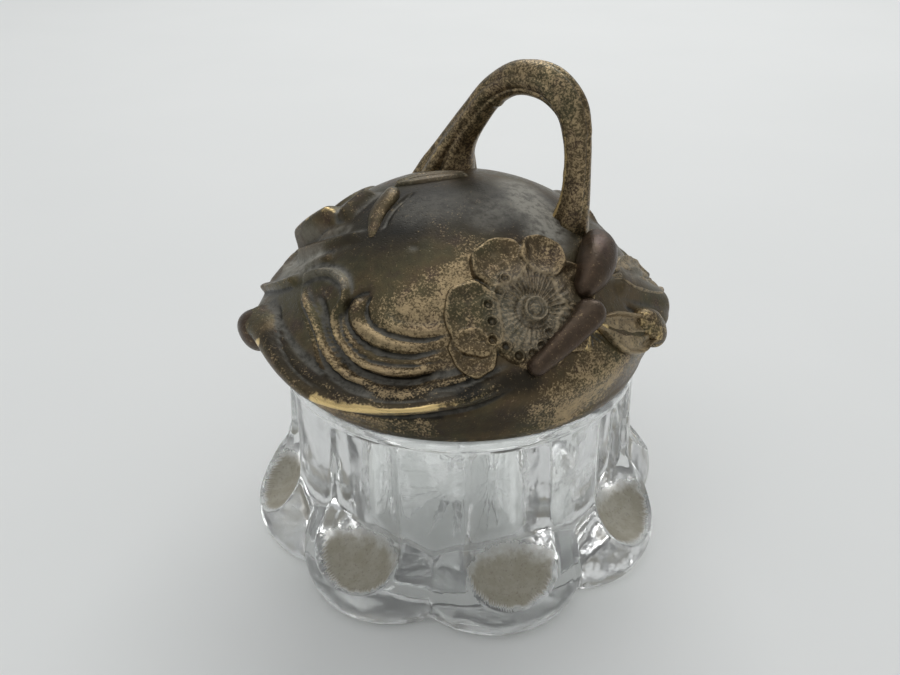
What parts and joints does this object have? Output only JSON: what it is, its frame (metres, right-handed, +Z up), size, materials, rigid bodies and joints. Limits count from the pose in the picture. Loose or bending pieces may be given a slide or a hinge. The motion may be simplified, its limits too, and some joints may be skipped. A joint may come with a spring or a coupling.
{
  "type": "inkwell",
  "caption": "Round clear-glass ink pot with scooped, flaring lobes and an open well, closed by a loose domed metal lid with blossom relief and an arched branch handle.",
  "frame": {"origin": "centre of the foot, on the surface the inkwell stands on", "axes": "+Z up along the pot's axis; -Y towards the front, the side with the large blossom"},
  "size_m": [0.0908, 0.0908, 0.1025],
  "materials": {
    "clear_glass": "polished pressed glass",
    "aged_gilt": "tarnished, worn gilt casting"
  },
  "bodies": {
    "pot": {"glass_body": "clear_glass"},
    "lid": {"lid_shell": "aged_gilt", "locating_ring": "aged_gilt", "branch_handle": "aged_gilt", "large_blossom": "aged_gilt", "side_blossom": "aged_gilt", "flower_stem": "aged_gilt", "bud": "aged_gilt", "curled_bud": "aged_gilt", "dome_leaf": "aged_gilt"}
  },
  "joints": [
    {"name": "lid_lift", "type": "slide", "parent": "pot", "child": "lid", "axis": [0, 0, 1], "range_m": [0, 0.06]}
  ]
}
